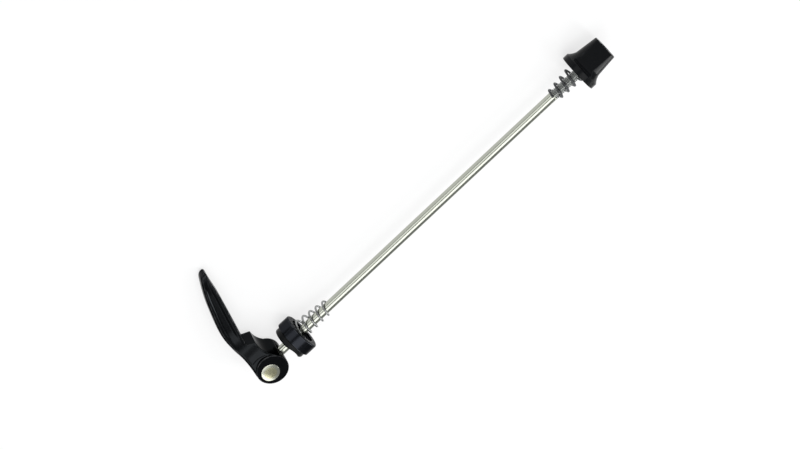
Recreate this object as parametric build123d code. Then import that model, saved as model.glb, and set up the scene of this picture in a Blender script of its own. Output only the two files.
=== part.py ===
from build123d import *
import math
import os

# Quick release skewer for a wheel with a hollow axle. Lengths in mm, angles in degrees.
# +X runs along the rod from the lever to the nut, and the origin is the middle of the
# cup's clamping face. The skewer lies as it comes to rest on a floor, with +Z up.

# Rod: an M5 skewer rod, its shank rolled thinner than its threads
shank_d = 4.5
thread_d = 5.0
thread_pitch = 0.8
grip_length = 173.0

# Lever head: two cam ears on a cross barrel, with a slot between them for the rod
cam_r = 7.8
cam_offset = 1.8
head_width = 15.3
barrel_d = 9.0
barrel_bevel = 0.5
barrel_land_r = 3.0
slot_side_gap = 0.5

# Neck: the wide block between the ears and the blade, dipped and then raised to a lip
neck_step = 0.6
neck_start_angle = 40
neck_back = 0.4
neck_waist = (-3.8, 9.5)
dip = (5.7, 11.0)
lip = (6.0, 16.4)
notch = (2.5, 18.5)
neck_taper_start = 5.0
neck_end_width = 10.0
neck_bevel = 0.8

# Blade: a horn, nearly straight inside and bowed outside, measured from the barrel's axis
blade_reach = 61.6
blade_lean = 15.6
blade_bow = 3.0
blade_belly = 0.2
blade_root_y = 20.0
blade_root_in = 2.8
blade_root_out = -3.5
blade_root_width = 11.0
tip_thick = 2.8
tip_width = 5.8
blade_bevel = 0.7
groove_depth = 0.45
groove_margin = 1.7

# Cup and saddle on the lever side
rim_r = 9.5
rim_round = 0.8
cup_length = 6.3
saddle_r = 8.4
saddle_length = 3.0
saddle_bevel = 1.1
spigot_r = 7.0
spigot_length = 2.6
seat_depth = 1.0
seat_travel = 4.95

# Clamping faces: radial teeth between a flat land round the spring's recess and one inside the rim
tooth_count = 24
tooth_groove_width = 0.7
face_land = 0.5
rim_land = 0.15
recess_depth = 1.2

# Springs: two conical coils, their large ends against the cup and the nut
wire_d = 1.0
wire_sides = 6
spring_large_d = 9.6
spring_pitch = 3.83
lever_spring_turns = 4.65
nut_spring_turns = 4.1
lever_spring_clock = 158
nut_spring_clock = -115

# Adjusting nut: a round flange, a flare, and a tapering grip with two finger flats
nut_length = 17.4
flange_thick = 2.9
flare_length = 3.7
flare_hollow = 0.3
waist_r = 7.25
nut_end_r = 6.1
flat_shelf = 0.4
flat_start = 6.4
flat_end = 4.0
flat_corner = 1.6
flat_clock = 53.7
insert_r = 3.4
insert_length = 10.5
lock_ring_length = 2.0

# Small bevels on machined and moulded edges
edge_break = 0.4

# Fits, each one measured on the radius
pivot_gap = 0.05
slide_gap = 0.3
spring_gap = 0.05
thread_gap = 0.05
screwed_gap = 0.02
seat_gap = 0.15
nest_gap = 0.15
press_gap = 0.01

# Sizes that follow from the ones above
shank_r = shank_d / 2
thread_r = thread_d / 2
barrel_r = barrel_d / 2
wire_r = wire_d / 2
tip_r = tip_width / 2
tip_centre_y = blade_reach - tip_r
slot_width = thread_d + 2 * slot_side_gap
seat_r = cam_r + cam_offset + seat_gap
saddle_end_x = -cup_length - saddle_length
seat_floor_x = saddle_end_x + seat_depth
pivot_x = seat_floor_x - seat_travel - seat_r
shank_bore_r = shank_r + slide_gap
thread_bore_r = thread_r + thread_gap
coil_large_r = spring_large_d / 2 - wire_r
coil_small_r = thread_r + spring_gap + wire_r
spring_drop = coil_large_r - wire_r - shank_r - spring_gap
recess_r = spring_large_d / 2 + spring_drop + nest_gap
nut_thread_length = nut_spring_turns * spring_pitch
rod_start_x = pivot_x - barrel_r + thread_pitch
lever_thread_length = barrel_d
rod_end_x = grip_length + nut_length - 2 * thread_pitch
insert_x = grip_length + recess_depth
lock_ring_x = insert_x + insert_length

# The skewer rolls on its cup and flange until the blade's tip meets the floor
rest_roll = math.degrees(math.asin((rim_r - tip_r) / tip_centre_y))


def bar(start, length, radius):
    """A round bar along the rod's axis."""
    ends = (Align.CENTER, Align.CENTER, Align.MIN)
    return Pos(start, 0, 0) * Rot(0, 90, 0) * Cylinder(radius, length, align=ends)


def tube(start, length, outer, inner):
    """A round tube along the rod's axis."""
    return bar(start, length, outer) - bar(start, length, inner)


def turned(outline):
    """A closed outline of points (place along the rod, radius), turned about the rod."""
    return revolve(make_face(outline), Axis.X)


def rim_edges(body, place, radius):
    """The round edges of a turned body at a place along the rod with a given radius."""
    circles = body.edges().filter_by(GeomType.CIRCLE)
    return [
        edge
        for edge in circles
        if abs(edge.arc_center.X - place) < edge_break / 4 and abs(edge.radius - radius) < edge_break / 4
    ]


def skewer_rod():
    """Steel rod: a plain shank between the thread in the barrel and the nut's thread."""
    body = bar(rod_start_x, rod_end_x - rod_start_x, shank_r)
    body += bar(rod_start_x, lever_thread_length, thread_r)
    nut_thread_x = grip_length + recess_depth - nut_thread_length
    body += bar(nut_thread_x, rod_end_x - nut_thread_x, thread_r)
    ends = rim_edges(body, rod_start_x, thread_r) + rim_edges(body, rod_end_x, thread_r)
    return chamfer(ends, edge_break)


def pivot_barrel():
    """Cross barrel with bevelled ends, tapped across its middle for the rod."""
    half = head_width / 2
    shoulder = half - barrel_bevel
    outline = Polyline(
        (0, -half),
        (barrel_land_r, -half),
        (barrel_r, -shoulder),
        (barrel_r, shoulder),
        (barrel_land_r, half),
        (0, half),
        close=True,
    )
    body = revolve(Plane.XZ * make_face(outline), Axis.Z)
    return Pos(pivot_x, 0, 0) * body - bar(pivot_x - barrel_d, 2 * barrel_d, thread_r + screwed_gap)


def blade_side():
    """The blade seen along the barrel: a slightly full inner edge and a bowed outer edge."""
    beyond_tip_y = blade_reach + tip_thick / 2
    tip_in = (blade_lean + tip_thick / 2, beyond_tip_y)
    tip_out = (blade_lean - tip_thick / 2, beyond_tip_y)
    root_in = (blade_root_in, blade_root_y)
    root_out = (blade_root_out, blade_root_y)
    bow = SagittaArc(root_out, tip_out, blade_bow)
    belly = SagittaArc(tip_in, root_in, blade_belly)
    return make_face([bow, Line(tip_out, tip_in), belly, Line(root_in, root_out)])


def blade_plan(inset):
    """The blade seen along the rod: a taper from the dip to the round tip, less an inset."""
    root_r = blade_root_width / 2 - inset
    end_r = tip_r - inset
    taper = math.asin((root_r - end_r) / (tip_centre_y - dip[1]))
    root = (dip[1] + root_r * math.sin(taper), root_r * math.cos(taper))
    end = (tip_centre_y + end_r * math.sin(taper), end_r * math.cos(taper))
    nose = ThreePointArc((end[0], -end[1]), (blade_reach - inset, 0), end)
    sides = Polyline(end, root, (root[0], -root[1]), (end[0], -end[1]))
    return Plane.YZ * make_face([nose, sides])


def blade_foot():
    """The part of the blade that runs down into the neck, and a little way up inside the horn."""
    outline = Polyline(
        (blade_root_in - blade_bevel, blade_root_y + blade_bevel),
        (blade_root_in, blade_root_y),
        (0, dip[1]),
        (blade_root_out, dip[1]),
        (blade_root_out, blade_root_y),
        (blade_root_out + blade_bevel, blade_root_y + blade_bevel),
        close=True,
    )
    foot = extrude(make_face(outline), blade_root_width, both=True)
    return foot & extrude(blade_plan(0), blade_reach, both=True)


def blade():
    """The horn with its long edges bevelled and a shallow groove down each side."""
    body = extrude(blade_side(), blade_root_width, both=True)
    body &= extrude(blade_plan(0), blade_reach, both=True)
    long_edges = [edge for edge in body.edges() if edge.length > blade_reach / 2]
    body = chamfer(long_edges, blade_bevel)
    groove = extrude(offset(blade_side(), -groove_margin), blade_root_width, both=True)
    groove -= extrude(blade_plan(groove_depth), blade_reach, both=True)
    return body - groove + blade_foot()


def neck():
    """The block that joins the two ears to the blade, narrowed towards it, with the thumb lip."""
    angle = math.radians(neck_start_angle)
    ear_top = (cam_offset + cam_r * math.cos(angle), cam_r * math.sin(angle))
    ear_back = (cam_offset - cam_r, 0)
    end_out = (blade_root_out + neck_back, notch[1])
    inner = ThreePointArc(ear_top, dip, lip)
    lip_end = Polyline(lip, notch, end_out)
    back = ThreePointArc(end_out, neck_waist, ear_back)
    foot = Polyline(ear_back, (cam_offset, 0), ear_top)
    body = extrude(make_face([inner, lip_end, back, foot]), head_width / 2, both=True)
    wide = head_width / 2 - neck_step
    narrow = neck_end_width / 2
    half = [(0, wide), (neck_taper_start, wide), (notch[1], narrow)]
    plan = Polyline(half + [(y, -z) for y, z in reversed(half)], close=True)
    body &= extrude(Plane.YZ * make_face(plan), 2 * cam_r, both=True)
    behind = [edge for edge in body.edges() if edge.center().X < end_out[0]]
    back_edges = [edge for edge in behind if edge.center().Y > neck_bevel]
    return chamfer(back_edges, neck_bevel)


def cam_lever():
    """One cast lever: two eccentric ears with the rod's slot between them, neck and blade."""
    ears = Pos(cam_offset, 0, 0) * Cylinder(cam_r, head_width)
    ears = chamfer(ears.edges().filter_by(GeomType.CIRCLE), edge_break)
    body = ears + neck() + blade()
    body -= Cylinder(barrel_r + pivot_gap, 2 * head_width)
    slot_side = 2 * (cam_r + cam_offset)
    below = (Align.CENTER, Align.MAX, Align.CENTER)
    body -= Pos(0, slot_width / 2, 0) * Box(2 * slot_side, slot_side, slot_width, align=below)
    return Pos(pivot_x, 0, 0) * body


def toothed(body, place):
    """Radial grooves cut into the flat of a clamping face, between its inner land and its rim."""
    inner = recess_r + face_land
    length = rim_r - rim_round - rim_land - inner
    side = tooth_groove_width / math.sqrt(2)
    outside = (Align.CENTER, Align.CENTER, Align.MIN)
    groove = Pos(place, 0, inner) * Rot(0, 0, 45) * Box(side, side, length, align=outside)
    return body - [Rot(360 * turn / tooth_count, 0, 0) * groove for turn in range(tooth_count)]


def clamp_cup():
    """Black ring with an eased rim and, on its toothed clamping face, a recess for the spring."""
    pocket_x = -cup_length + spigot_length
    eased = rim_round * (1 - math.sqrt(1 / 2))
    body = turned(
        Polyline(
            (-cup_length, spigot_r),
            (-cup_length, rim_r),
            (-rim_round, rim_r),
            (-eased, rim_r - eased),
            (0, rim_r - rim_round),
            (0, recess_r),
            (-recess_depth, recess_r),
            (-recess_depth, shank_bore_r),
            (pocket_x, shank_bore_r),
            (pocket_x, spigot_r),
            close=True,
        )
    )
    body = chamfer(rim_edges(body, -cup_length, rim_r), edge_break)
    return toothed(body, 0)


def cam_saddle():
    """Resin bearing pressed into the cup, bevelled, and hollowed across its end for the two cam ears."""
    spigot_x = -cup_length + spigot_length - press_gap
    body = tube(saddle_end_x, saddle_length, saddle_r, shank_bore_r)
    body = chamfer(rim_edges(body, saddle_end_x, saddle_r), saddle_bevel)
    body += tube(-cup_length, spigot_x + cup_length, spigot_r - press_gap, shank_bore_r)
    return body - Pos(seat_floor_x - seat_r, 0, 0) * Cylinder(seat_r, 4 * saddle_r)


def spring(turns, clock, bar_r):
    """Conical coil that hangs on a bar with its top inside, its large end lowest, at the origin."""
    height = turns * spring_pitch
    taper = math.degrees(math.atan2(coil_large_r - coil_small_r, height))
    path = Helix(spring_pitch, height, coil_large_r, cone_angle=-taper, lefthand=True)
    section = Plane(origin=path @ 0, z_dir=path % 0) * RegularPolygon(wire_r, wire_sides)
    coil = Rot(clock, 0, 0) * Rot(0, 90, 0) * sweep(section, path=path, is_frenet=True)
    seat_x = wire_r + coil_large_r * math.sin(math.radians(taper))
    drop = coil_large_r - wire_r - spring_gap - bar_r
    return Rot(rest_roll, 0, 0) * Pos(seat_x, 0, -drop) * Rot(0, -taper, 0) * coil


def lever_spring():
    """Bright conical spring in the recess of the cup."""
    return Pos(-recess_depth, 0, 0) * spring(lever_spring_turns, lever_spring_clock, shank_r)


def nut_spring():
    """Dark conical spring in the recess of the nut, pointing back to the lever."""
    coil = spring(nut_spring_turns, nut_spring_clock, thread_r)
    upright = Rot(rest_roll, 0, 0) * Rot(0, 0, 180) * Rot(-rest_roll, 0, 0)
    return Pos(grip_length + recess_depth, 0, 0) * upright * coil


def finger_flat():
    """The piece of metal that one finger flat takes off the nut, its corner left rounded."""
    shelf_x = flange_thick + flat_shelf
    clear = 2 * rim_r
    slope = (flat_end - flat_start) / (nut_length - shelf_x)
    far_x = nut_length + flat_corner
    far_y = flat_end + slope * flat_corner
    corner = (shelf_x, flat_start)
    outline = Polyline((shelf_x, clear), corner, (far_x, far_y), (far_x, clear), close=True)
    side = make_face(outline)
    side = fillet(side.vertices().sort_by_distance(corner)[0], flat_corner)
    return extrude(side, clear, both=True)


def adjusting_nut():
    """Black flanged nut, gripped by two inclined flats, with a pocket for its thread insert."""
    flare_x = flange_thick + flare_length
    pocket_x = recess_depth + insert_length + lock_ring_length
    flare = SagittaArc((flange_thick, rim_r), (flare_x, waist_r), -flare_hollow)
    rest = Polyline(
        (flare_x, waist_r),
        (nut_length, nut_end_r),
        (nut_length, thread_r + slide_gap),
        (pocket_x, thread_r + slide_gap),
        (pocket_x, insert_r),
        (recess_depth, insert_r),
        (recess_depth, recess_r),
        (0, recess_r),
        (0, rim_r),
        (flange_thick, rim_r),
    )
    body = turned([flare, rest])
    rims = rim_edges(body, 0, rim_r) + rim_edges(body, flange_thick, rim_r)
    body = chamfer(rims + rim_edges(body, nut_length, nut_end_r), edge_break)
    for half_turn in (0, 180):
        body -= Rot(flat_clock + half_turn, 0, 0) * finger_flat()
    return Pos(grip_length, 0, 0) * toothed(body, 0)


def nut_insert():
    """Steel bush pressed into the nut, which carries the nut's thread."""
    return tube(insert_x, insert_length, insert_r - press_gap, thread_bore_r)


def nut_lock_ring():
    """Nylon ring behind the insert that grips the thread."""
    return tube(lock_ring_x, lock_ring_length, insert_r - press_gap, thread_bore_r)


makers = (
    skewer_rod,
    pivot_barrel,
    cam_lever,
    cam_saddle,
    clamp_cup,
    lever_spring,
    nut_spring,
    adjusting_nut,
    nut_insert,
    nut_lock_ring,
)

os.makedirs("parts", exist_ok=True)
for maker in makers:
    export_step(Rot(-rest_roll, 0, 0) * maker(), f"parts/{maker.__name__}.step")
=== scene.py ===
import math

import bpy
import numpy as np
from mathutils import Matrix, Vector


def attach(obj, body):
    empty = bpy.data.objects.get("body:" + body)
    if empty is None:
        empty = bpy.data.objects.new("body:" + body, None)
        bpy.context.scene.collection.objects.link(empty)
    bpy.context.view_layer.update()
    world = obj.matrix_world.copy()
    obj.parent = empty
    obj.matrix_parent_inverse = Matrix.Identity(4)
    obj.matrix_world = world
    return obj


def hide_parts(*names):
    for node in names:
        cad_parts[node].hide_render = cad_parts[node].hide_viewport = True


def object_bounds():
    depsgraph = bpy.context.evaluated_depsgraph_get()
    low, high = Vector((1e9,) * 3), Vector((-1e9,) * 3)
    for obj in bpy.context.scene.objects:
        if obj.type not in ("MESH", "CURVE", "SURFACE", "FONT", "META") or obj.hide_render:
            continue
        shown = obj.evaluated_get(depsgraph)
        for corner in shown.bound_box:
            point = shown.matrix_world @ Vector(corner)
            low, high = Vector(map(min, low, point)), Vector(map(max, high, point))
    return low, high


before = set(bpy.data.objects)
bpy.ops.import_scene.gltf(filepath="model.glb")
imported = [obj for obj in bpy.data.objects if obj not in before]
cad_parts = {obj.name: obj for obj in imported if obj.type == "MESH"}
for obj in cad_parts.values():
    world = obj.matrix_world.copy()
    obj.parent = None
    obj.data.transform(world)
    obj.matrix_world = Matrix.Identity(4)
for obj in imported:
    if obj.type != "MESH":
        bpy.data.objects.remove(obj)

cad_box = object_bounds()

# Rod: a drawn steel bar, bright plated, with rolled threads that stand a little proud of the shank.
# The short thread is screwed into the cross barrel, the long one carries the nut.
shank_r = 2.25
thread_r = 2.5
thread_pitch = 0.8
thread_depth = 0.46
rod_start = -26.7
lever_thread_end = -17.7
nut_thread_start = 158.5
rod_end = 188.8
end_bevel = 0.4
end_flat_r = 2.0
rim_r = 9.5
tip_y = 58.7
tip_r = 2.9
rest_roll = math.asin((rim_r - tip_r) / tip_y)


def lay_down(x, y, z):
    """Bench millimetres to metres on the floor: x stays along the rod, y (to the blade) and z (along the
    barrel) turn about the rod by the roll at which the cup, the flange and the blade's tip touch the floor."""
    c, s = math.cos(rest_roll), math.sin(rest_roll)
    x, y, z = np.broadcast_arrays(x, y, z)
    return np.stack([x, y * c + z * s, z * c - y * s], -1) * 0.001


def smooth_step(low, high, t):
    """Cubic ramp from 0 at low to 1 at high: 3u squared less 2u cubed."""
    u = np.clip((t - low) / (high - low), 0, 1)
    return u * u * (3 - 2 * u)


def full_turn(count):
    """Evenly spaced angles round a full turn, as one row."""
    return np.linspace(0, 2 * np.pi, count, endpoint=False)[None, :]


def closed_shell(points, ring=False):
    """Vertices, quads and end fans over a grid of points whose rows run round the piece. With ring, the last
    row joins the first; otherwise a middle point closes each end. A negative volume turns the faces over."""
    rows, cols = points.shape[:2]
    row = np.arange(rows if ring else rows - 1)[:, None] * cols
    col = np.arange(cols)[None, :]
    after = (col + 1) % cols
    below = (row + cols) % (rows * cols)
    quads = np.stack([row + col, row + after, below + after, below + col], -1).reshape(-1, 4)
    verts = points.reshape(-1, 3)
    fans = np.zeros((0, 3), int)
    if not ring:
        verts = np.vstack([verts, points[0].mean(0), points[-1].mean(0)])
        a, b = np.arange(cols), (np.arange(cols) + 1) % cols
        last = (rows - 1) * cols
        first_fan = np.stack([b, a, np.full(cols, rows * cols)], -1)
        last_fan = np.stack([a + last, b + last, np.full(cols, rows * cols + 1)], -1)
        fans = np.vstack([first_fan, last_fan])
    tris = np.vstack([quads[:, :3], quads[:, [0, 2, 3]], fans])
    p, q, r = (verts[tris[:, k]] for k in range(3))
    if (p * np.cross(q, r)).sum() < 0:
        quads, fans = quads[:, ::-1], fans[:, ::-1]
    return verts, quads, fans


def new_piece(name, shells, finish, body, node, slot, **marks):
    """One smooth mesh from closed shells, standing for a CAD node and riding on its body. Each mark is a
    list of grids, one per shell, stored as a value (or a vector) at every vertex; end points get zero."""
    verts, faces, start = [], [], 0
    for points, quads, fans in shells:
        verts.append(points)
        faces += (quads + start).tolist() + (fans + start).tolist()
        start += len(points)
    mesh = bpy.data.meshes.new(name)
    mesh.from_pydata(np.vstack(verts).tolist(), [], faces)
    mesh.polygons.foreach_set("use_smooth", np.ones(len(faces), bool))
    for mark, grids in marks.items():
        width = 3 if grids[0].ndim == 3 else 1
        values = np.zeros((start, width))
        place = 0
        for grid, points in zip(grids, verts):
            values[place:place + grid.size // width] = grid.reshape(-1, width)
            place += len(points)
        kind, field = ("FLOAT_VECTOR", "vector") if width == 3 else ("FLOAT", "value")
        mesh.attributes.new(mark, kind, "POINT").data.foreach_set(field, values.ravel())
    mesh.materials.append(finish)
    piece = bpy.data.objects.new(name, mesh)
    bpy.context.scene.collection.objects.link(piece)
    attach(piece, body)
    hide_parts(node)


def add_node(tree, kind, **values):
    """A shader node with its settings: each name is a property of the node or one of its inputs."""
    node = tree.nodes.new(kind)
    for name, value in values.items():
        if hasattr(node, name):
            setattr(node, name, value)
        else:
            node.inputs[name.replace("_", " ")].default_value = value
    return node


def new_effect(name, inputs, outputs):
    """An empty node group with named inputs (name, socket type, value) and outputs (name, socket type)."""
    group = bpy.data.node_groups.new(name, "ShaderNodeTree")
    for label, kind, value in inputs:
        socket = group.interface.new_socket(label, in_out="INPUT", socket_type=kind)
        socket.default_value = value
    for label, kind in outputs:
        group.interface.new_socket(label, in_out="OUTPUT", socket_type=kind)
    return group, add_node(group, "NodeGroupInput"), add_node(group, "NodeGroupOutput")


def new_finish(name, **values):
    """A material with one Principled shader; a value that is the same all over sits on its own socket."""
    finish = bpy.data.materials.new(name)
    finish.use_nodes = True
    shader = finish.node_tree.nodes["Principled BSDF"]
    for label, value in values.items():
        shader.inputs[label.replace("_", " ")].default_value = value
    return finish, finish.node_tree, shader


def ramp(tree, source, low, high, socket):
    """Feeds a socket with a 0 to 1 value stretched between two values or two colours."""
    if isinstance(low, tuple):
        node = add_node(tree, "ShaderNodeMix", data_type="RGBA")
        node.inputs[6].default_value = (*low, 1)
        node.inputs[7].default_value = (*high, 1)
        tree.links.new(source, node.inputs[0])
        tree.links.new(node.outputs[2], socket)
    else:
        node = add_node(tree, "ShaderNodeMapRange", To_Min=low, To_Max=high)
        tree.links.new(source, node.inputs["Value"])
        tree.links.new(node.outputs["Result"], socket)


def tint(tree, mask, colour, shader):
    """Mixes one more colour over what already feeds the shader's base colour, as far as a mask says."""
    base = shader.inputs["Base Color"]
    mixed = add_node(tree, "ShaderNodeMix", data_type="RGBA")
    mixed.inputs[7].default_value = (*colour, 1)
    tree.links.new(mask, mixed.inputs[0])
    tree.links.new(base.links[0].from_socket, mixed.inputs[6])
    tree.links.new(mixed.outputs[2], base)


def bump(tree, height, shader, depth, strength):
    """Fine relief of a given depth in metres, fed to the shader's normal."""
    node = add_node(tree, "ShaderNodeBump", Strength=strength, Distance=depth)
    tree.links.new(height, node.inputs["Height"])
    tree.links.new(node.outputs["Normal"], shader.inputs["Normal"])


# Drawing leaves hair lines along a bar or wire: noise that is long one way and fine across it.
drawn_lines, lines_in, lines_out = new_effect(
    "drawn_lines",
    [("Vector", "NodeSocketVector", (0, 0, 0)), ("Across", "NodeSocketFloat", 2500.0)],
    [("Tone", "NodeSocketFloat"), ("Height", "NodeSocketFloat")],
)
stretch = add_node(drawn_lines, "ShaderNodeCombineXYZ", X=20.0)
scaled = add_node(drawn_lines, "ShaderNodeVectorMath", operation="MULTIPLY")
streaks = add_node(drawn_lines, "ShaderNodeTexNoise", Scale=1.0, Detail=4.0, Roughness=0.6)
blotches = add_node(drawn_lines, "ShaderNodeTexNoise", Scale=90.0, Detail=2.0)
toned = add_node(drawn_lines, "ShaderNodeMath", operation="MULTIPLY_ADD")
toned.inputs[1].default_value = 0.5
halved = add_node(drawn_lines, "ShaderNodeMath", operation="MULTIPLY")
halved.inputs[1].default_value = 0.5
drawn_lines.links.new(lines_in.outputs["Across"], stretch.inputs["Y"])
drawn_lines.links.new(lines_in.outputs["Across"], stretch.inputs["Z"])
drawn_lines.links.new(lines_in.outputs["Vector"], scaled.inputs[0])
drawn_lines.links.new(stretch.outputs[0], scaled.inputs[1])
drawn_lines.links.new(scaled.outputs[0], streaks.inputs["Vector"])
drawn_lines.links.new(lines_in.outputs["Vector"], blotches.inputs["Vector"])
drawn_lines.links.new(blotches.outputs["Fac"], halved.inputs[0])
drawn_lines.links.new(streaks.outputs["Fac"], toned.inputs[0])
drawn_lines.links.new(halved.outputs[0], toned.inputs[2])
drawn_lines.links.new(toned.outputs[0], lines_out.inputs["Tone"])
drawn_lines.links.new(streaks.outputs["Fac"], lines_out.inputs["Height"])


def drawn_metal(name, dark, light, rough, across, coordinates, depth):
    """Plated or plain drawn steel: colour, gloss and relief all follow the drawing lines."""
    finish, tree, shader = new_finish(name, Metallic=1.0)
    lines = add_node(tree, "ShaderNodeGroup", node_tree=drawn_lines, Across=across)
    if coordinates == "object":
        source = add_node(tree, "ShaderNodeTexCoord").outputs["Object"]
    else:
        source = add_node(tree, "ShaderNodeAttribute", attribute_name=coordinates).outputs["Vector"]
    tree.links.new(source, lines.inputs["Vector"])
    ramp(tree, lines.outputs["Tone"], dark, light, shader.inputs["Base Color"])
    ramp(tree, lines.outputs["Tone"], *rough, shader.inputs["Roughness"])
    bump(tree, lines.outputs["Height"], shader, depth, 0.5)
    return finish


def rod_surface():
    """Radius over (place along the rod, turn): the shank, and a 60 degree thread form whose phase is the
    place over the pitch less the turn over a full turn. Limits on the last rows make the bevelled flat ends."""
    step = thread_pitch / 12
    run_out = 0.6
    head = rod_start + np.arange(0, lever_thread_end - rod_start + run_out, step)
    shank = np.linspace(lever_thread_end + thread_pitch, nut_thread_start - thread_pitch, 60)
    tail = np.arange(nut_thread_start - run_out, rod_end - end_bevel, step)
    inset = np.array([rod_start] * 3 + [rod_start + end_bevel])
    outset = np.array([rod_end - end_bevel] + [rod_end] * 3)
    place = np.concatenate([inset, head[head > rod_start + end_bevel], shank, tail, outset])
    end_limit = np.array([end_flat_r / 2, end_flat_r, end_flat_r + 0.06, thread_r])
    limit = np.full(place.shape, thread_r)
    limit[:4], limit[-4:] = end_limit, end_limit[::-1]
    place, turn = place[:, None], full_turn(72)
    phase = (place / thread_pitch - turn / (2 * np.pi)) % 1
    flank = smooth_step(0.1, 0.9, np.abs(2 * phase - 1))
    threaded = thread_r - thread_depth * (1 - flank)
    share = smooth_step(lever_thread_end + 0.5, lever_thread_end - 0.7, place)
    share = share + smooth_step(nut_thread_start - 0.5, nut_thread_start + 0.9, place)
    radius = np.minimum(shank_r + (threaded - shank_r) * share, limit[:, None])
    return lay_down(place, radius * np.cos(turn), radius * np.sin(turn)), np.broadcast_to(share, radius.shape)


rod_plating = drawn_metal(
    "rod_plating", (0.4, 0.415, 0.36), (0.5, 0.515, 0.45), (0.1, 0.2), 2600.0, "object", 4e-6
)
# The threads are given a darker grey than the plated shank.
darker_thread_grey = (0.34, 0.35, 0.34)
tree = rod_plating.node_tree
thread_mark = add_node(tree, "ShaderNodeAttribute", attribute_name="thread")
tint(tree, thread_mark.outputs["Fac"], darker_thread_grey, tree.nodes["Principled BSDF"])
rod_points, rod_thread = rod_surface()
new_piece(
    "threaded_rod",
    [closed_shell(rod_points)],
    rod_plating,
    "rod",
    "skewer_rod",
    "rod_steel",
    thread=[rod_thread],
)

# Cross barrel: turned steel with slightly domed ends. Its pale olive colour is a painted reflection of a
# yellowish room, and its whiter rim is a painted highlight of bright surroundings. It is tapped across for the
# rod, and the lever's two ears swing on it.
pivot_x = -23.0
barrel_r = 4.5
barrel_half = 7.65
barrel_dome = 0.25
barrel_round = 0.2
# Painted reflection: the olive colours stand for a yellowish room mirrored in the steel; the whiter rim colour
# is a painted highlight.
olive_reflection_dark, olive_reflection_light, painted_rim_highlight = (0.5, 0.485, 0.315), (0.64, 0.625, 0.42), (0.54, 0.55, 0.46)
rim_highlight_start, rim_highlight_full = 0.0024, 0.0036


def barrel_surface():
    """A turned profile about the barrel's axis: domed end, small round, plain side, and its mirror image."""
    flat_r = barrel_r - barrel_round
    out = np.linspace(0.4, flat_r, 16)
    dome = barrel_half - barrel_dome * (out / barrel_r) ** 2
    bend = np.linspace(np.radians(78), 0, 7)
    edge_z = dome[-1] - barrel_round + barrel_round * np.sin(bend)
    radius = np.concatenate([out, flat_r + barrel_round * np.cos(bend), [barrel_r] * 2])
    height = np.concatenate([dome, edge_z, [edge_z[-1] - 0.1, 0.1]])
    radius = np.concatenate([radius, radius[::-1]])[:, None]
    height = np.concatenate([height, -height[::-1]])[:, None]
    turn = full_turn(96)
    return lay_down(pivot_x + radius * np.cos(turn), radius * np.sin(turn), height)


barrel_polish, tree, shader = new_finish("barrel_polish", Metallic=1.0)
place = add_node(tree, "ShaderNodeTexCoord")
centred = add_node(tree, "ShaderNodeMapping")
centred.inputs["Location"].default_value = (-pivot_x * 0.001, 0, 0)
centred.inputs["Rotation"].default_value = (rest_roll, 0, 0)
rings = add_node(
    tree, "ShaderNodeTexWave", wave_type="RINGS", rings_direction="Z", Scale=1300.0, Distortion=1.5
)
clouds = add_node(tree, "ShaderNodeTexNoise", Scale=350.0, Detail=3.0)
flattened = add_node(tree, "ShaderNodeVectorMath", operation="MULTIPLY")
flattened.inputs[1].default_value = (1, 1, 0)
from_axis = add_node(tree, "ShaderNodeVectorMath", operation="LENGTH")
edge_band = add_node(
    tree, "ShaderNodeMapRange", interpolation_type="SMOOTHSTEP", From_Min=rim_highlight_start, From_Max=rim_highlight_full
)
tree.links.new(place.outputs["Object"], centred.inputs["Vector"])
tree.links.new(place.outputs["Object"], clouds.inputs["Vector"])
tree.links.new(centred.outputs["Vector"], rings.inputs["Vector"])
tree.links.new(centred.outputs["Vector"], flattened.inputs[0])
tree.links.new(flattened.outputs["Vector"], from_axis.inputs[0])
tree.links.new(from_axis.outputs["Value"], edge_band.inputs["Value"])
# Painted reflection over the whole barrel, and a painted highlight that whitens it towards the rim.
ramp(tree, clouds.outputs["Fac"], olive_reflection_dark, olive_reflection_light, shader.inputs["Base Color"])
tint(tree, edge_band.outputs["Result"], painted_rim_highlight, shader)
ramp(tree, rings.outputs["Fac"], 0.16, 0.2, shader.inputs["Roughness"])
bump(tree, rings.outputs["Fac"], shader, 1e-6, 0.05)
new_piece(
    "cross_barrel", [closed_shell(barrel_surface())], barrel_polish, "rod", "pivot_barrel", "barrel_steel"
)

# Cam lever: one aluminium casting, black anodised. Two eccentric ears turn on the barrel with a slot
# between them for the rod; a neck with a thumb lip runs into the blade that the hand closes.
cam_r = 7.8
cam_middle = (1.8, 0.66)
ear_face = 7.65
ear_hole_r = 4.55
ear_round = 0.5
slot_half = 3.0
ear_top = (8.271, 5.014)
dip = (5.7, 11.0)
lip = (6.0, 16.4)
notch = (2.5, 18.5)
neck_back = ((-5.85, 3.0), (-4.45, 9.0), (-3.45, 18.5))
neck_half = 7.05
neck_end_half = 5.0
neck_taper_y = 5.0
ring_r = 9.6
ring_step = 0.3
ring_blend = 0.4
blade_root_y = 20.0
blade_root_half = 5.5
blade_inner = ((2.8, 20.0), (10.09, 41.437), (17.0, 63.0))
blade_outer = ((-3.5, 20.0), (2.576, 42.642), (14.2, 63.0))
back_slope = 0.115
fullness = 0.8
tip_thinning = 0.5
channel_depth = 0.42
crown_depth = 0.3
# Heights between which one form passes into the next, or a feature comes in (and goes out again).
ring_run = (17, 12)
back_run = (13, 23)
side_run = (13, 24)
fullness_run = (16, 29, 29, 44)
thinning_run = (46, 57)
channel_run = (20, 30, 50, 58)
crown_run = (14, 26, 52, 61)
wear_run = (15, 20)


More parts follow.
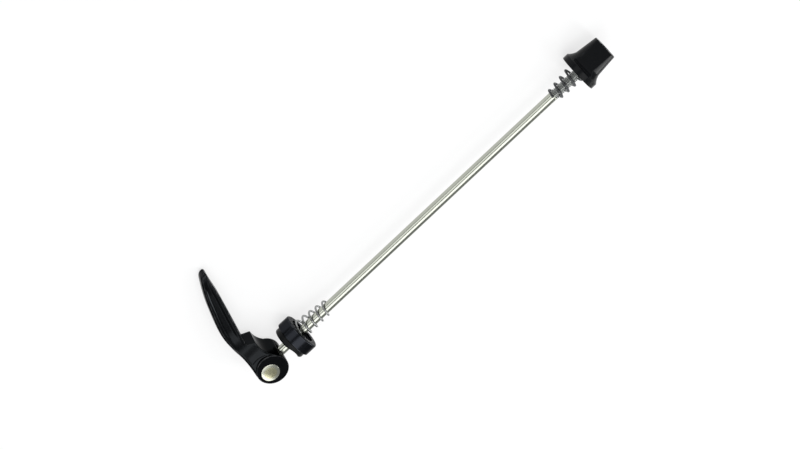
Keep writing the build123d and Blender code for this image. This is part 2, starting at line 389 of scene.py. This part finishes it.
def rounded_outline(corners, radii, longest=0.5, steps=6):
    """A closed outline through corners, each rounded by an arc of its own radius, with long runs divided.
    Gives the points and a mark that is 1 on outside rounds, where a finish wears first."""
    corners = np.array(corners, float)
    back, ahead = np.roll(corners, 1, 0) - corners, np.roll(corners, -1, 0) - corners
    area = (corners[:, 0] * np.roll(corners[:, 1], -1) - np.roll(corners[:, 0], -1) * corners[:, 1]).sum()
    points, worn = [], []
    for corner, u, v, radius in zip(corners, back, ahead, radii):
        u, v = u / np.linalg.norm(u), v / np.linalg.norm(v)
        if radius:
            half = math.acos(np.clip(u @ v, -1, 1)) / 2
            middle = corner + (u + v) / np.linalg.norm(u + v) * radius / math.sin(half)
            start = corner + u * radius / math.tan(half) - middle
            end = corner + v * radius / math.tan(half) - middle
            share = np.linspace(0, 1, steps)[:, None]
            sweep = math.pi - 2 * half
            arc = (np.sin((1 - share) * sweep) * start + np.sin(share * sweep) * end) / math.sin(sweep)
            held = min(0.08, radius)
            run = np.vstack([arc[:1] + u * held, arc, arc[-1:] + v * held]) + middle
            outside = (u[0] * v[1] - u[1] * v[0]) * area < 0
            mark = np.concatenate([[0], np.full(steps, float(outside)), [0]])
        else:
            run, mark = corner[None, :], np.zeros(1)
        points.append(run)
        worn.append(mark)
    points, worn = np.vstack(points), np.concatenate(worn)
    following = np.roll(points, -1, 0)
    gap = np.linalg.norm(following - points, axis=1)
    pieces = np.maximum(np.ceil(gap / longest).astype(int), 1)
    index = np.repeat(np.arange(len(points)), pieces)
    first = np.repeat(np.cumsum(pieces) - pieces, pieces)
    share = (np.arange(len(index)) - first) / pieces[index]
    filled = points[index] + (following[index] - points[index]) * share[:, None]
    return filled, np.where(share == 0, worn[index], 0)


def ear_surface(side):
    """One cam ear: a rounded section carried round the barrel, whose inner edge keeps to the hole and whose
    outer edge follows the eccentric circle: its middle's part along the ray, plus the root of the rest."""
    wide, hole_side = 10.0, 0.3
    section, worn = rounded_outline(
        [(0, slot_half), (0, ear_face), (wide, ear_face), (wide, slot_half)], [0.15, 0.15, ear_round, 0.2]
    )
    turn = full_turn(160)
    along = cam_middle[0] * np.cos(turn) + cam_middle[1] * np.sin(turn)
    aside = cam_middle[1] * np.cos(turn) - cam_middle[0] * np.sin(turn)
    outer = along + np.sqrt(cam_r**2 - aside**2)
    across = section[:, :1]
    between = np.clip((across - hole_side) / (wide - hole_side - ear_round), 0, 1)
    from_hole = ear_hole_r + np.minimum(across, hole_side)
    to_rim = np.maximum(across - wide + ear_round, 0)
    radius = from_hole + between * (outer - ear_round - ear_hole_r - hole_side) + to_rim
    height = side * section[:, 1:]
    points = lay_down(pivot_x + radius * np.cos(turn), radius * np.sin(turn), height)
    return points, np.broadcast_to(worn[:, None], radius.shape) * (across > wide / 2)


def arc_x(y, a, b, c):
    """The x of the circle through three points at height y, on the side of the middle point."""
    (ax, ay), (bx, by), (cx, cy) = a, b, c
    d = 2 * (ax * (by - cy) + bx * (cy - ay) + cx * (ay - by))
    sa, sb, sc = ax**2 + ay**2, bx**2 + by**2, cx**2 + cy**2
    mx = (sa * (by - cy) + sb * (cy - ay) + sc * (ay - by)) / d
    my = (sa * (cx - bx) + sb * (ax - cx) + sc * (bx - ax)) / d
    squared = (ax - mx) ** 2 + (ay - my) ** 2
    return mx + math.copysign(1, bx - mx) * np.sqrt(np.maximum(squared - (y - my) ** 2, 0))


def soft_max(a, b, blend):
    """The larger of two heights with a rounded crossing: their mean plus half the root of the squared gap."""
    return (a + b + np.sqrt((a - b) ** 2 + blend**2)) / 2


def soft_min(a, b, blend):
    """The smaller of two heights with a rounded crossing."""
    return -soft_max(-a, -b, blend)


def rise_and_fall(start, full, fading, end, t):
    """From 0 at start up to 1 at full, and from 1 at fading down to 0 at end: two cubic ramps multiplied."""
    return smooth_step(start, full, t) * smooth_step(end, fading, t)


def inner_outline(y):
    """The x of the lever's inside over its height: cam circle, dished neck up to the lip, fall to the notch,
    and the blade's inner arc, thinned towards the tip."""
    cam_front = cam_middle[0] + np.sqrt(np.maximum(cam_r**2 - (y - cam_middle[1]) ** 2, 0))
    dished = np.where(y < ear_top[1], cam_front, arc_x(y, ear_top, dip, lip))
    fall = (lip[0] - notch[0]) / (notch[1] - lip[1])
    neck = soft_min(dished, lip[0] - fall * (y - lip[1]), 0.25)
    blade = np.where(
        y < blade_root_y,
        blade_inner[0][0] * (y - dip[1]) / (blade_root_y - dip[1]),
        arc_x(np.maximum(y, blade_root_y), *blade_inner),
    )
    return soft_max(neck, blade, 0.35) - tip_thinning * smooth_step(*thinning_run, y)


def outer_outline(y):
    """The x of the lever's back over its height: the neck's arc passing smoothly into the blade's arc, which
    is a little fuller over its lower half."""
    neck = arc_x(np.minimum(y, notch[1]), *neck_back)
    blade = arc_x(np.maximum(y, blade_root_y), *blade_outer) + back_slope * np.minimum(y - blade_root_y, 0)
    back = neck + (blade - neck) * smooth_step(*back_run, y)
    return back - fullness * rise_and_fall(*fullness_run, y)


def blade_surface():
    """Neck and blade as rounded oblong sections stacked along the lever. Inner, outer and side outlines are
    functions of the height y, and the corners have their own rounds. A soft channel runs down each side of
    the blade, its back is crowned, and the neck's sides step down beyond a ring round the pivot."""
    y = np.concatenate(
        [
            np.linspace(slot_half, 5.5, 10),
            np.linspace(5.7, 15.2, 50),
            np.linspace(15.26, 19.6, 60),
            np.linspace(19.8, 58.4, 120),
            tip_y + tip_r * np.sin(np.linspace(0, np.pi / 2, 26)[:-1]),
        ]
    )[:, None]
    inner, outer = inner_outline(y), outer_outline(y)
    narrowing = np.clip((y - neck_taper_y) / (notch[1] - neck_taper_y), 0, None)
    neck_side = neck_half - (neck_half - neck_end_half) * narrowing
    taper = math.asin((blade_root_half - tip_r) / (tip_y - dip[1]))
    straight = (tip_r - (y - tip_y) * math.sin(taper)) / math.cos(taper)
    nose = np.sqrt(np.maximum(tip_r**2 - np.maximum(y - tip_y, 0) ** 2, 0))
    blade_side = np.where(y < tip_y, straight, nose)
    side = neck_side + (blade_side - neck_side) * smooth_step(*side_run, y)
    half = (inner - outer) / 2 * np.where(y > tip_y, 0.3 + 0.7 * nose / tip_r, 1)
    middle = (inner + outer) / 2
    most = 0.92 * np.minimum(half, side)
    round_in = np.minimum(0.3 + 0.45 * smooth_step(notch[1], 24, y), most)
    round_out = np.minimum(1.0 + 0.2 * smooth_step(20, 12, y), most)
    bend = np.linspace(0, np.pi / 2, 7)[None, :]
    xs, zs = [], []
    for corner, (sx, sz) in enumerate([(1, 1), (-1, 1), (-1, -1), (1, -1)]):
        r = round_in if sx > 0 else round_out
        angle = bend + corner * np.pi / 2
        xs.append(middle + sx * (half - r) + r * np.cos(angle))
        zs.append(sz * (side - r) + r * np.sin(angle))
    run = np.concatenate([[0.012], np.linspace(0.03, 0.97, 31), [0.988]])[None, :]
    channel = channel_depth * rise_and_fall(*channel_run, y) * rise_and_fall(0.08, 0.34, 0.66, 0.92, run)
    off_edges = rise_and_fall(0, 0.06, 0.94, 1, run)
    grid_x, grid_z, grid_worn = [], [], []
    for corner in range(4):
        following = (corner + 1) % 4
        from_x, to_x = xs[corner][:, -1:], xs[following][:, :1]
        from_z, to_z = zs[corner][:, -1:], zs[following][:, :1]
        span_x = from_x + (to_x - from_x) * run
        span_z = from_z + (to_z - from_z) * run
        if corner in (0, 2):
            outside = smooth_step(ring_r - ring_blend, ring_r + ring_blend, np.hypot(span_x, y))
            step = ring_step * outside * smooth_step(*ring_run, y)
            span_z = span_z - np.sign(from_z) * (channel + step * off_edges)
        grid_x += [xs[corner], span_x]
        grid_z += [zs[corner], span_z]
        grid_worn += [np.ones_like(xs[corner]), np.zeros_like(span_z)]
    x, z = np.hstack(grid_x), np.hstack(grid_z)
    crown = crown_depth * rise_and_fall(*crown_run, y)
    x = x + crown * (z / side) ** 2 * np.clip((middle - x) / half, 0, 1)
    return lay_down(pivot_x + x, y, z), np.hstack(grid_worn) * smooth_step(*wear_run, y)


# A casting or moulding has a fine skin: small grain for relief and slow clouds for its gloss.
cast_skin, skin_in, skin_out = new_effect(
    "cast_skin",
    [("Grain", "NodeSocketFloat", 7000.0)],
    [("Tone", "NodeSocketFloat"), ("Height", "NodeSocketFloat")],
)
place = add_node(cast_skin, "ShaderNodeTexCoord")
grain = add_node(cast_skin, "ShaderNodeTexNoise", Detail=3.0, Roughness=0.6)
clouds = add_node(cast_skin, "ShaderNodeTexNoise", Scale=260.0, Detail=3.0)
cast_skin.links.new(place.outputs["Object"], grain.inputs["Vector"])
cast_skin.links.new(place.outputs["Object"], clouds.inputs["Vector"])
cast_skin.links.new(skin_in.outputs["Grain"], grain.inputs["Scale"])
cast_skin.links.new(clouds.outputs["Fac"], skin_out.inputs["Tone"])
cast_skin.links.new(grain.outputs["Fac"], skin_out.inputs["Height"])

# Handling rubs the black thin on outside edges, in patches: the edge mark times a broken noise.
edge_wear, wear_in, wear_out = new_effect(
    "edge_wear",
    [("Edge", "NodeSocketFloat", 0.0), ("Amount", "NodeSocketFloat", 0.5)],
    [("Mask", "NodeSocketFloat")],
)
place = add_node(edge_wear, "ShaderNodeTexCoord")
patches = add_node(edge_wear, "ShaderNodeTexNoise", Scale=420.0, Detail=4.0)
kept = add_node(
    edge_wear, "ShaderNodeMapRange", interpolation_type="SMOOTHSTEP", From_Min=0.42, From_Max=0.62
)
masked = add_node(edge_wear, "ShaderNodeMath", operation="MULTIPLY")
scaled = add_node(edge_wear, "ShaderNodeMath", operation="MULTIPLY")
edge_wear.links.new(place.outputs["Object"], patches.inputs["Vector"])
edge_wear.links.new(patches.outputs["Fac"], kept.inputs["Value"])
edge_wear.links.new(kept.outputs["Result"], masked.inputs[0])
edge_wear.links.new(wear_in.outputs["Edge"], masked.inputs[1])
edge_wear.links.new(masked.outputs[0], scaled.inputs[0])
edge_wear.links.new(wear_in.outputs["Amount"], scaled.inputs[1])
edge_wear.links.new(scaled.outputs[0], wear_out.inputs["Mask"])


def black_finish(name, dark, worn, rough, grain, amount, depth, **base):
    """Black anodised alloy or moulded resin: clouded gloss, fine skin, and thinner black on worn edges."""
    finish, tree, shader = new_finish(name, **base)
    skin = add_node(tree, "ShaderNodeGroup", node_tree=cast_skin, Grain=grain)
    wear = add_node(tree, "ShaderNodeGroup", node_tree=edge_wear, Amount=amount)
    edge = add_node(tree, "ShaderNodeAttribute", attribute_name="edge")
    tree.links.new(edge.outputs["Fac"], wear.inputs["Edge"])
    ramp(tree, wear.outputs["Mask"], dark, worn, shader.inputs["Base Color"])
    ramp(tree, skin.outputs["Tone"], *rough, shader.inputs["Roughness"])
    bump(tree, skin.outputs["Height"], shader, depth, 0.6)
    return finish


lever_black = black_finish(
    "lever_black",
    dark=(0.0115, 0.0125, 0.0135),
    # This worn-edge colour is partly wear and partly a painted highlight standing in for glints along the
    # blade's edges.
    worn=(0.05, 0.05, 0.052),
    rough=(0.14, 0.23),
    grain=5200.0,
    amount=0.5,
    depth=6e-6,
    Metallic=1.0,
    Specular_Tint=(0.5, 0.5, 0.5, 1),
)
near_ear, near_edge = ear_surface(1)
far_ear, far_edge = ear_surface(-1)
blade, blade_edge = blade_surface()
new_piece(
    "lever_casting",
    [closed_shell(near_ear, ring=True), closed_shell(far_ear, ring=True), closed_shell(blade)],
    lever_black,
    "lever",
    "cam_lever",
    "black_alloy",
    edge=[near_edge, far_edge, blade_edge],
)

# Saddle: a black resin bearing pressed into the back of the cup. Its end is hollowed across,
# so the two cam ears bear on it as the lever is closed.
saddle_end = -9.3
saddle_r = 8.4
cup_back = -6.3
spigot_end = -3.71
spigot_r = 6.99
bore_r = 2.55
seat_r = 9.75
seat_middle = -18.05
seat_blend = 0.16
seat_wear = 0.3


def turned_surface(outline, cols):
    """An outline of (place, radius) carried round the rod: place, turn and radius as grids."""
    turn = full_turn(cols)
    place = np.broadcast_to(outline[:, :1], (len(outline), cols)).copy()
    radius = np.broadcast_to(outline[:, 1:], (len(outline), cols)).copy()
    return place, turn, radius


outline, rounds = rounded_outline(
    [
        (saddle_end, bore_r),
        (saddle_end, saddle_r),
        (cup_back, saddle_r),
        (cup_back, spigot_r),
        (spigot_end, spigot_r),
        (spigot_end, bore_r),
    ],
    [0.2, 1.0, 0.12, 0.05, 0.2, 0.1],
    longest=0.25,
)
place, turn, radius = turned_surface(outline, 240)
y, z = radius * np.cos(turn), radius * np.sin(turn)
seat = seat_middle + np.sqrt(np.maximum(seat_r**2 - y**2, 0))
seated = np.where(place < cup_back - 0.3, soft_max(place, seat, seat_blend), place)
seat_edge = np.exp(-(((place - seat) / seat_wear) ** 2)) * (place < saddle_end + seat_wear)
worn_rounds = np.broadcast_to(rounds[:, None], place.shape) * (place < cup_back - 0.2)
resin_black = black_finish(
    "resin_black",
    dark=(0.0045, 0.005, 0.0055),
    worn=(0.016, 0.017, 0.019),
    rough=(0.34, 0.5),
    grain=4200.0,
    amount=0.5,
    depth=8e-6,
    IOR=1.3,
    Specular_IOR_Level=0.3,
)
new_piece(
    "saddle_bearing",
    [closed_shell(lay_down(seated, y, z), ring=True)],
    resin_black,
    "cup",
    "cam_saddle",
    "black_resin",
    edge=[np.clip(worn_rounds + seat_edge, 0, 1)],
)

# Cup: a turned alloy ring, black anodised, loose on the rod. Its face towards the nut has radial
# teeth that bite the frame end, round a recess for the spring.
pocket_floor = -3.7
pocket_r = 7.0
recess_depth = 1.2
recess_r = 6.45
tooth_count = 24
tooth_depth = 0.35
tooth_inner = 6.95
tooth_outer = 8.55
tooth_end = 0.04
tooth_rows = [(0, r + gap) for r in (tooth_outer, tooth_inner) for gap in (0.05, -0.05)]


def toothed(place, turn, radius, inward):
    """Radial V grooves sunk from the flat face at place 0: the depth less the distance along the arc to the
    nearest groove, kept between the inner land and the rim."""
    nearest = np.abs((turn * tooth_count / (2 * np.pi) + 0.5) % 1 - 0.5) * 2 * np.pi / tooth_count
    depth = np.maximum(tooth_depth - nearest * radius, 0)
    inner_end = (tooth_inner - tooth_end, tooth_inner + tooth_end)
    outer_end = (tooth_outer - tooth_end, tooth_outer + tooth_end)
    inside = rise_and_fall(*inner_end, *outer_end, radius)
    return np.where(np.abs(place) < 1e-6, place + inward * depth * inside, place)


outline, rounds = rounded_outline(
    [
        (cup_back, pocket_r),
        (cup_back, rim_r),
        (0, rim_r),
        *tooth_rows,
        (0, recess_r),
        (-recess_depth, recess_r),
        (-recess_depth, bore_r),
        (pocket_floor, bore_r),
        (pocket_floor, pocket_r),
    ],
    [0.15, 0.4, 0.75, 0, 0, 0, 0, 0.12, 0.25, 0.15, 0.1, 0.1],
    longest=0.4,
)
place, turn, radius = turned_surface(outline, 480)
place = toothed(place, turn, radius, -1)
cup_points = lay_down(place, radius * np.cos(turn), radius * np.sin(turn))
cup_black = black_finish(
    "cup_black",
    dark=(0.018, 0.0195, 0.0235),
    worn=(0.06, 0.063, 0.07),
    rough=(0.17, 0.27),
    grain=6000.0,
    amount=0.45,
    depth=4e-6,
    Metallic=1.0,
    Specular_Tint=(0.55, 0.55, 0.55, 1),
)
new_piece(
    "toothed_cup",
    [closed_shell(cup_points, ring=True)],
    cup_black,
    "cup",
    "clamp_cup",
    "black_alloy",
    edge=[np.broadcast_to(rounds[:, None], place.shape)],
)

# Lever spring: bright zinc-plated round wire wound into a left-hand cone. It hangs on the rod with its
# large end in the cup's recess.
wire_r = 0.5
coil_large_r = 4.3
coil_small_r = 3.05
coil_pitch = 3.83
hang_gap = 0.05
wire_end_share = 0.82


def coil_surface(turns, clock, bar_r):
    """A round wire carried along a left-hand conical helix. The coil is tipped by its taper and lowered, so
    that its top inside lies along the bar; x is measured from the recess's floor. Also gives wire lengths."""
    height = turns * coil_pitch
    taper = math.atan2(coil_large_r - coil_small_r, height)
    t = np.linspace(0, 1, int(60 * turns))[:, None]
    angle = -2 * np.pi * turns * t
    reach = coil_large_r - height * t * math.tan(taper)
    line = np.concatenate([height * t, reach * np.sin(angle), -reach * np.cos(angle)], 1)
    along = np.gradient(line, axis=0)
    length = np.concatenate([[0], np.cumsum(np.linalg.norm(np.diff(line, axis=0), axis=1))])
    along /= np.linalg.norm(along, axis=1, keepdims=True)
    outward = line * [0, 1, 1]
    outward -= (outward * along).sum(1, keepdims=True) * along
    outward /= np.linalg.norm(outward, axis=1, keepdims=True)
    beside = np.cross(along, outward)
    round_wire = np.linspace(0, 2 * np.pi, 20, endpoint=False)
    thick = np.full(len(t), wire_r)
    thick[[0, -1]] = wire_r * wire_end_share
    ring = outward[:, None] * np.cos(round_wire)[:, None] + beside[:, None] * np.sin(round_wire)[:, None]
    tube = line[:, None] + ring * thick[:, None, None]
    c, s = math.cos(math.radians(clock)), math.sin(math.radians(clock))
    x, y, z = tube[..., 0], tube[..., 1] * c - tube[..., 2] * s, tube[..., 1] * s + tube[..., 2] * c
    lean_c, lean_s = math.cos(taper), math.sin(taper)
    x, z = x * lean_c - z * lean_s, x * lean_s + z * lean_c
    x = x + wire_r + coil_large_r * lean_s
    z = z - (coil_large_r - wire_r - hang_gap - bar_r)
    lengths, rounds = np.broadcast_arrays(length[:, None], round_wire[None, :] * wire_r)
    return np.stack([x, y, z], -1), np.stack([lengths, rounds, np.zeros_like(lengths)], -1) * 0.001


coil, wire_map = coil_surface(turns=4.65, clock=158, bar_r=shank_r)
zinc_wire = drawn_metal(
    "zinc_wire", (0.21, 0.215, 0.215), (0.38, 0.385, 0.38), (0.14, 0.26), 6000.0, "wire", 4e-6
)
new_piece(
    "zinc_spring",
    [closed_shell((coil - [recess_depth, 0, 0]) * 0.001)],
    zinc_wire,
    "cup",
    "lever_spring",
    "bright_spring",
    wire=[wire_map],
)

# Nut spring: the same wound cone in dark phosphated wire, turned end for end, its large end in the
# nut's recess.
grip_length = 173.0
coil, wire_map = coil_surface(turns=4.1, clock=-115, bar_r=thread_r)
dark_wire = drawn_metal(
    "dark_wire", (0.048, 0.05, 0.054), (0.125, 0.128, 0.134), (0.3, 0.46), 6000.0, "wire", 5e-6
)
new_piece(
    "dark_spring",
    [closed_shell((coil * [-1, -1, 1] + [grip_length + recess_depth, 0, 0]) * 0.001)],
    dark_wire,
    "nut_carriage",
    "nut_spring",
    "dark_spring",
    wire=[wire_map],
)

# Adjusting nut: turned alloy, black anodised. Behind the toothed flange it flares into a tapering grip
# with two flats milled for finger and thumb.
nut_length = 17.4
nut_end_r = 6.1
flange_thick = 2.9
flare_middle = (8.119, 4.594)
waist_x = 6.6
waist_r = 7.25
end_hole_r = 2.8
insert_r = 3.4
insert_pocket_end = 13.7
flat_clock = math.radians(53.7)
flat_shelf = 3.3
flat_corner = 1.6
flat_start = 6.4
flat_end = 4.0
flat_slope = (flat_end - flat_start) / (nut_length - flat_shelf)
flat_blend = 0.14
flat_wear = 0.22
clear_of_nut = 20.0
grip_inside_r = 4.0
wall_under_flat = 0.6


def flat_height(place):
    """Height of a finger flat over the rod's axis: a falling line, raised to a round at its shelf."""
    foot = flat_shelf + flat_corner
    level = flat_start + flat_slope * (np.maximum(place, foot) - flat_shelf)
    rise = flat_corner - np.sqrt(np.maximum(flat_corner**2 - np.clip(foot - place, 0, flat_corner) ** 2, 0))
    return np.where(place < flat_shelf, clear_of_nut, level + rise)


flare_x = np.concatenate([np.linspace(3.05, 3.27, 3), [3.299, 3.301], np.linspace(3.36, 6.45, 22)])
flare_r = arc_x(flare_x, (rim_r, flange_thick), flare_middle, (waist_r, waist_x))
outline, rounds = rounded_outline(
    [
        (0, recess_r),
        *tooth_rows[::-1],
        (0, rim_r),
        (flange_thick, rim_r),
        *np.stack([flare_x, flare_r], 1),
        (waist_x, waist_r),
        (nut_length, nut_end_r),
        (nut_length, end_hole_r),
        (insert_pocket_end, end_hole_r),
        (insert_pocket_end, insert_r),
        (recess_depth, insert_r),
        (recess_depth, recess_r),
    ],
    [0.12, 0, 0, 0, 0, 0.35, 0.12, *[0] * len(flare_x), 0, 0.45, 0.25, 0.1, 0.1, 0.15, 0.25],
    longest=0.45,
)
place, turn, radius = turned_surface(outline, 480)
y, z = radius * np.cos(turn), radius * np.sin(turn)
limit = flat_height(place)
outer = radius > grip_inside_r
edge = np.broadcast_to(rounds[:, None], place.shape)
for half_turn in (0, np.pi):
    c, s = math.cos(flat_clock + half_turn), math.sin(flat_clock + half_turn)
    up, beside = y * c + z * s, z * c - y * s
    edge_band = np.exp(-(((up - limit) / flat_wear) ** 2))
    edge = np.where(outer, np.maximum(edge, edge_band), edge)
    up = np.where(outer, soft_min(up, limit, flat_blend), np.minimum(up, limit - wall_under_flat))
    y, z = up * c - beside * s, up * s + beside * c
nut_points = lay_down(grip_length + toothed(place, turn, radius, 1), y, z)
nut_black = black_finish(
    "nut_black",
    dark=(0.003, 0.0036, 0.0044),
    worn=(0.02, 0.021, 0.024),
    rough=(0.2, 0.3),
    grain=6000.0,
    amount=0.5,
    depth=4e-6,
    IOR=1.3,
    Specular_IOR_Level=0.27,
)
new_piece(
    "finger_nut",
    [closed_shell(nut_points, ring=True)],
    nut_black,
    "nut",
    "adjusting_nut",
    "black_alloy",
    edge=[edge],
)

# Insert and lock ring: a steel bush with the nut's thread, and a nylon ring behind it, both pressed
# into the nut. Only the bush's end shows, at the bottom of the spring's recess.
bush_steel = drawn_metal(
    "bush_steel", (0.3, 0.3, 0.29), (0.46, 0.46, 0.45), (0.26, 0.4), 3000.0, "object", 4e-6
)
nylon_white, tree, shader = new_finish("nylon_white", Roughness=0.5)
skin = add_node(tree, "ShaderNodeGroup", node_tree=cast_skin, Grain=3000.0)
ramp(tree, skin.outputs["Tone"], (0.72, 0.72, 0.68), (0.84, 0.84, 0.8), shader.inputs["Base Color"])
bump(tree, skin.outputs["Height"], shader, 5e-6, 0.5)
for node, finish in (("nut_insert", bush_steel), ("nut_lock_ring", nylon_white)):
    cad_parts[node].data.materials.clear()
    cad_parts[node].data.materials.append(finish)

# Floor: a plain pale sheet under the skewer. Part of its white is its own glow towards the camera and in
# reflections, so that the background stays white and the shadow stays soft.
floor_half = 6
floor_gap = 2e-5
floor_z = float(cad_box[0][2]) - floor_gap
glow_share = 0.72
square = ((-1, -1), (1, -1), (1, 1), (-1, 1))
floor_mesh = bpy.data.meshes.new("floor")
floor_mesh.from_pydata([(x * floor_half, y * floor_half, floor_z) for x, y in square], [], [(0, 1, 2, 3)])
floor = bpy.data.objects.new("floor", floor_mesh)
bpy.context.scene.collection.objects.link(floor)
paper = bpy.data.materials.new("floor_paper")
paper.use_nodes = True
tree = paper.node_tree
tree.nodes.clear()
sheet = add_node(tree, "ShaderNodeBsdfDiffuse", Color=(0.95, 0.95, 0.95, 1))
glow = add_node(tree, "ShaderNodeEmission", Color=(1, 1, 1, 1), Strength=1.0)
rays = add_node(tree, "ShaderNodeLightPath")
seen = add_node(tree, "ShaderNodeMath", operation="MAXIMUM")
any_seen = add_node(tree, "ShaderNodeMath", operation="MAXIMUM")
share = add_node(tree, "ShaderNodeMath", operation="MULTIPLY")
share.inputs[1].default_value = glow_share
mixed = add_node(tree, "ShaderNodeMixShader")
out = add_node(tree, "ShaderNodeOutputMaterial")
tree.links.new(rays.outputs["Is Camera Ray"], seen.inputs[0])
tree.links.new(rays.outputs["Is Glossy Ray"], seen.inputs[1])
tree.links.new(seen.outputs[0], any_seen.inputs[0])
tree.links.new(rays.outputs["Is Transmission Ray"], any_seen.inputs[1])
tree.links.new(any_seen.outputs[0], share.inputs[0])
tree.links.new(share.outputs[0], mixed.inputs["Fac"])
tree.links.new(sheet.outputs[0], mixed.inputs[1])
tree.links.new(glow.outputs[0], mixed.inputs[2])
tree.links.new(mixed.outputs[0], out.inputs["Surface"])
floor_mesh.materials.append(paper)

# Light: an even pale room and two large soft lamps, overhead and on the blade's side. Three small weak
# lamps behind give the lever, its back edge and the nut's side their sheen.
room = bpy.data.worlds.new("room")
room.use_nodes = True
room.node_tree.nodes["Background"].inputs["Color"].default_value = (0.98, 1.0, 1.02, 1)
room.node_tree.nodes["Background"].inputs["Strength"].default_value = 0.3
bpy.context.scene.world = room


def soft_lamp(name, place, target, size, power):
    """A rectangular area lamp at a place, facing a target; its local z axis points away from the target."""
    lamp = bpy.data.lights.new(name, "AREA")
    lamp.shape = "RECTANGLE"
    lamp.size, lamp.size_y = size
    lamp.energy = power
    holder = bpy.data.objects.new(name, lamp)
    away = np.array(place, float) - np.array(target, float)
    away /= np.linalg.norm(away)
    right = np.cross([0, 1, 0], away)
    right /= np.linalg.norm(right)
    up = np.cross(away, right)
    turn = Matrix([[*row] for row in np.stack([right, up, away], 1)]).to_4x4()
    turn.translation = place
    holder.matrix_world = turn
    bpy.context.scene.collection.objects.link(holder)


soft_lamp("overhead_lamp", (-0.05, 0.16, 1.5), (-0.05, 0.16, 0.0), (1.8, 1.2), 15.0)
soft_lamp("front_lamp", (-0.05, 1.6, 0.9), (0.05, 0.0, 0.0), (1.6, 1.1), 7.0)
soft_lamp("lever_lamp", (-0.52, -0.6, 0.94), (-0.02, 0.0, 0.0), (0.3, 0.5), 1.15)
soft_lamp("back_lamp", (-1.0, -0.66, 0.45), (-0.02, 0.03, 0.0), (0.5, 0.5), 3.0)
soft_lamp("nut_lamp", (0.245, -0.39, 0.31), (0.19, 0.0, 0.0), (0.12, 0.5), 1.1)

# Camera: a long lens high on the blade's side, rolled as the picture is. Its focal length is given in
# pixels of an 800 pixel wide picture.
focal_pixels = 2846.64
picture_width = 800
sensor_width = 36.0
right = (0.72263, -0.58315, 0.37114)
up = (0.67728, 0.48998, -0.54883)
back = (0.13819, 0.64796, 0.74903)
lens = bpy.data.cameras.new("view")
lens.sensor_fit = "HORIZONTAL"
lens.sensor_width = sensor_width
lens.lens = focal_pixels / picture_width * sensor_width
lens.clip_start = 0.05
camera = bpy.data.objects.new("view", lens)
turn = Matrix([[r, u, b] for r, u, b in zip(right, up, back)]).to_4x4()
turn.translation = (0.24658, 0.84669, 0.97147)
camera.matrix_world = turn
bpy.context.scene.collection.objects.link(camera)
bpy.context.scene.camera = camera
bpy.context.scene.view_settings.view_transform = "Standard"
